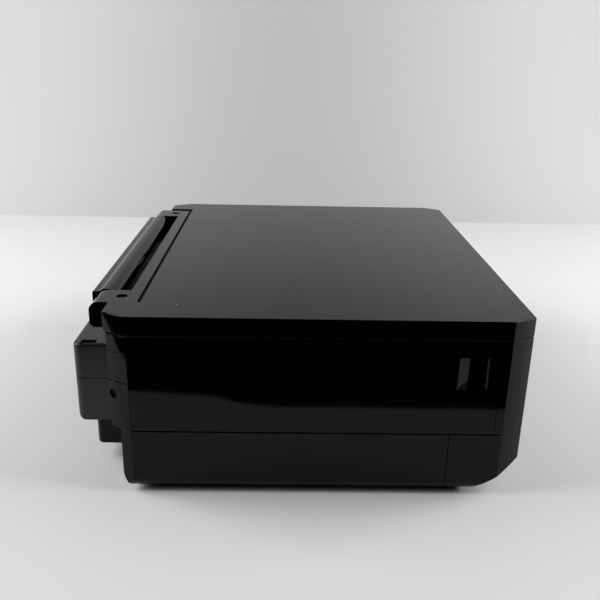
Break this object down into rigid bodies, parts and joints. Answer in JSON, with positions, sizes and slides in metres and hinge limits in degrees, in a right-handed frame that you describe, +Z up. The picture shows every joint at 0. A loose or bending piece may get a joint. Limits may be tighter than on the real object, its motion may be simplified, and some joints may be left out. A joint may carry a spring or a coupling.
{
  "type": "all-in-one printer",
  "caption": "Gloss black all-in-one inkjet printer: flatbed scanner under a hinged lid, tilting control panel, paper cassette, output tray and a paper turning unit at the back.",
  "frame": {"origin": "on the floor plane that the feet stand on, under the middle of the whole outline", "axes": "+X to the user's right, +Y to the back, where the paper turning unit is, +Z up"},
  "size_m": [0.39, 0.3634, 0.15],
  "materials": {
    "gloss_black": "high gloss",
    "satin_black": "fine satin",
    "inner_grey": "fine matte",
    "sheet_steel": "bright zinc plate",
    "rod_steel": "ground",
    "black_screw": "black zinc",
    "rubber": "matte",
    "gear_plastic": "smooth natural nylon",
    "motor_metal": "plated",
    "ink_plastic": "smooth",
    "board": "lacquered circuit board",
    "supply_case": "fine matte",
    "clear_glass": "polished",
    "display_glass": "high gloss",
    "pad_white": "soft white sheet",
    "key_plastic": "semi gloss"
  },
  "bodies": {
    "housing": {"base_housing": "gloss_black", "feet": "rubber", "lower_front": "gloss_black", "side_panel_left": "gloss_black", "side_panel_right": "gloss_black", "rear_cover_lower": "gloss_black", "rear_cover_upper": "gloss_black", "cover_screws": "black_screw", "front_bezel": "gloss_black", "mid_frame": "inner_grey", "chassis": "sheet_steel", "steel_rods": "rod_steel", "carriage_belt": "rubber", "motors": "motor_metal", "platen": "satin_black", "cap_station": "rubber", "power_supply": "supply_case", "main_board": "board"},
    "power_button": {"power_button": "key_plastic"},
    "card_door": {"card_door": "gloss_black"},
    "carriage": {"print_carriage": "satin_black", "ink_cartridges": "ink_plastic"},
    "motor_pulley": {"motor_pulley": "gear_plastic"},
    "feed_roller": {"feed_roller": "rod_steel"},
    "transfer_gear": {"transfer_gear": "gear_plastic"},
    "exit_roller": {"exit_roller": "rubber"},
    "motor_pinion": {"motor_pinion": "gear_plastic"},
    "pinch_rollers": {"pinch_rollers": "inner_grey"},
    "star_wheels": {"star_wheels": "inner_grey"},
    "pickup_arm": {"pickup_arm": "inner_grey"},
    "pickup_roller": {"pickup_roller": "rubber"},
    "control_panel": {"panel_frame": "satin_black", "panel_front": "gloss_black", "display": "display_glass"},
    "ok_key": {"ok_key": "key_plastic"},
    "start_key": {"start_key": "key_plastic"},
    "output_tray": {"output_tray": "satin_black"},
    "tray_extension": {"tray_extension": "satin_black"},
    "cassette": {"cassette_tray": "satin_black", "cassette_front": "gloss_black"},
    "edge_guide_left": {"edge_guide_left": "inner_grey"},
    "edge_guide_right": {"edge_guide_right": "inner_grey"},
    "guide_pinion": {"guide_pinion": "gear_plastic"},
    "photo_tray": {"photo_tray": "satin_black"},
    "scanner_unit": {"scanner_frame": "gloss_black", "scanner_bottom": "satin_black", "platen_glass": "clear_glass", "scan_rod": "rod_steel", "spine_cover": "gloss_black", "hinge_pins": "rod_steel"},
    "scan_carriage": {"scan_carriage": "satin_black"},
    "support_stay": {"support_stay": "satin_black"},
    "lid": {"lid_shell": "gloss_black", "document_pad": "pad_white", "hinge_bracket": "gloss_black", "bracket_screws": "black_screw"},
    "turning_unit": {"turn_lower_shell": "satin_black", "turn_upper_shell": "satin_black"},
    "turn_roller": {"turn_roller": "rubber"},
    "release_buttons": {"release_buttons": "satin_black"}
  },
  "joints": [
    {"name": "scanner_lift", "type": "hinge", "parent": "housing", "child": "scanner_unit", "pos_m": [0, 0.1507, 0.121], "axis": [-1, 0, 0], "range_deg": [0, 30]},
    {"name": "lid_open", "type": "hinge", "parent": "scanner_unit", "child": "lid", "pos_m": [0, 0.1487, 0.138], "axis": [-1, 0, 0], "range_deg": [0, 85]},
    {"name": "stay_swing", "type": "hinge", "parent": "scanner_unit", "child": "support_stay", "pos_m": [0.174, -0.0493, 0.117], "axis": [-1, 0, 0], "range_deg": [0, 30]},
    {"name": "scan_travel", "type": "slide", "parent": "scanner_unit", "child": "scan_carriage", "axis": [1, 0, 0], "range_m": [0, 0.28]},
    {"name": "panel_tilt", "type": "hinge", "parent": "housing", "child": "control_panel", "pos_m": [0, -0.1762, 0.1253], "axis": [-1, 0, 0], "range_deg": [0, 60]},
    {"name": "ok_press", "type": "slide", "parent": "control_panel", "child": "ok_key", "axis": [0, 1, 0], "range_m": [0, 0.0012], "stiffness_N_per_m": 500},
    {"name": "start_press", "type": "slide", "parent": "control_panel", "child": "start_key", "axis": [0, 1, 0], "range_m": [0, 0.0012], "stiffness_N_per_m": 500},
    {"name": "power_press", "type": "slide", "parent": "housing", "child": "power_button", "axis": [0, 1, 0], "range_m": [0, 0.0012], "stiffness_N_per_m": 500},
    {"name": "card_door_swing", "type": "hinge", "parent": "housing", "child": "card_door", "pos_m": [-0.1795, -0.18045, 0.092], "axis": [0, 0, -1], "range_deg": [0, 100]},
    {"name": "tray_slide", "type": "slide", "parent": "housing", "child": "output_tray", "axis": [0, -1, 0], "range_m": [0, 0.13]},
    {"name": "extension_slide", "type": "slide", "parent": "output_tray", "child": "tray_extension", "axis": [0, -1, 0], "range_m": [0, 0.09]},
    {"name": "cassette_slide", "type": "slide", "parent": "housing", "child": "cassette", "axis": [0, -1, 0], "range_m": [0, 0.25]},
    {"name": "guide_left_slide", "type": "slide", "parent": "cassette", "child": "edge_guide_left", "axis": [1, 0, 0], "range_m": [0, 0.05]},
    {"name": "guide_right_slide", "type": "slide", "parent": "cassette", "child": "edge_guide_right", "axis": [-1, 0, 0], "range_m": [0, 0.05]},
    {"name": "guide_pinion_spin", "type": "hinge", "parent": "cassette", "child": "guide_pinion", "pos_m": [0, 0.0297, 0.0094], "axis": [0, 0, 1], "range_deg": [0, 478]},
    {"name": "photo_tray_slide", "type": "slide", "parent": "cassette", "child": "photo_tray", "axis": [0, 1, 0], "range_m": [0, 0.06]},
    {"name": "carriage_travel", "type": "slide", "parent": "housing", "child": "carriage", "axis": [-1, 0, 0], "range_m": [0, 0.22]},
    {"name": "motor_pulley_spin", "type": "hinge", "parent": "housing", "child": "motor_pulley", "pos_m": [-0.146, 0.0592, 0.104], "axis": [0, 1, 0], "range_deg": [0, 2102]},
    {"name": "feed_spin", "type": "hinge", "parent": "housing", "child": "feed_roller", "pos_m": [0, 0.0272, 0.073], "axis": [1, 0, 0], "continuous": true},
    {"name": "transfer_spin", "type": "hinge", "parent": "housing", "child": "transfer_gear", "pos_m": [0, 0.0052, 0.073], "axis": [1, 0, 0], "continuous": true},
    {"name": "exit_spin", "type": "hinge", "parent": "housing", "child": "exit_roller", "pos_m": [0, -0.0168, 0.073], "axis": [1, 0, 0], "continuous": true},
    {"name": "motor_pinion_spin", "type": "hinge", "parent": "housing", "child": "motor_pinion", "pos_m": [0, 0.044, 0.073], "axis": [1, 0, 0], "continuous": true},
    {"name": "pinch_spin", "type": "hinge", "parent": "housing", "child": "pinch_rollers", "pos_m": [0, 0.0272, 0.0823], "axis": [1, 0, 0], "continuous": true},
    {"name": "star_spin", "type": "hinge", "parent": "housing", "child": "star_wheels", "pos_m": [0, -0.0168, 0.0823], "axis": [1, 0, 0], "continuous": true},
    {"name": "pickup_swing", "type": "hinge", "parent": "housing", "child": "pickup_arm", "pos_m": [0, 0.0832, 0.063], "axis": [1, 0, 0], "range_deg": [0, 10]},
    {"name": "pickup_roller_spin", "type": "hinge", "parent": "pickup_arm", "child": "pickup_roller", "pos_m": [0, 0.1112, 0.0189], "axis": [1, 0, 0], "continuous": true},
    {"name": "turn_unit_slide", "type": "slide", "parent": "housing", "child": "turning_unit", "axis": [0, 1, 0], "range_m": [0, 0.08]},
    {"name": "turn_roller_spin", "type": "hinge", "parent": "turning_unit", "child": "turn_roller", "pos_m": [0, 0.1567, 0.066], "axis": [1, 0, 0], "continuous": true},
    {"name": "release_press", "type": "slide", "parent": "turning_unit", "child": "release_buttons", "axis": [0, 0, -1], "range_m": [0, 0.0025], "stiffness_N_per_m": 400}
  ],
  "couplings": [
    {"joint": "stay_swing", "follows": "scanner_lift", "ratio": 1},
    {"joint": "guide_right_slide", "follows": "guide_left_slide", "ratio": 1},
    {"joint": "guide_pinion_spin", "follows": "guide_left_slide", "rad_per_m": 166.67},
    {"joint": "motor_pulley_spin", "follows": "carriage_travel", "rad_per_m": 166.67},
    {"joint": "transfer_spin", "follows": "feed_spin", "ratio": -1.2},
    {"joint": "exit_spin", "follows": "feed_spin", "ratio": 1},
    {"joint": "motor_pinion_spin", "follows": "feed_spin", "ratio": -2.5},
    {"joint": "pinch_spin", "follows": "feed_spin", "ratio": -2},
    {"joint": "star_spin", "follows": "feed_spin", "ratio": -2}
  ]
}
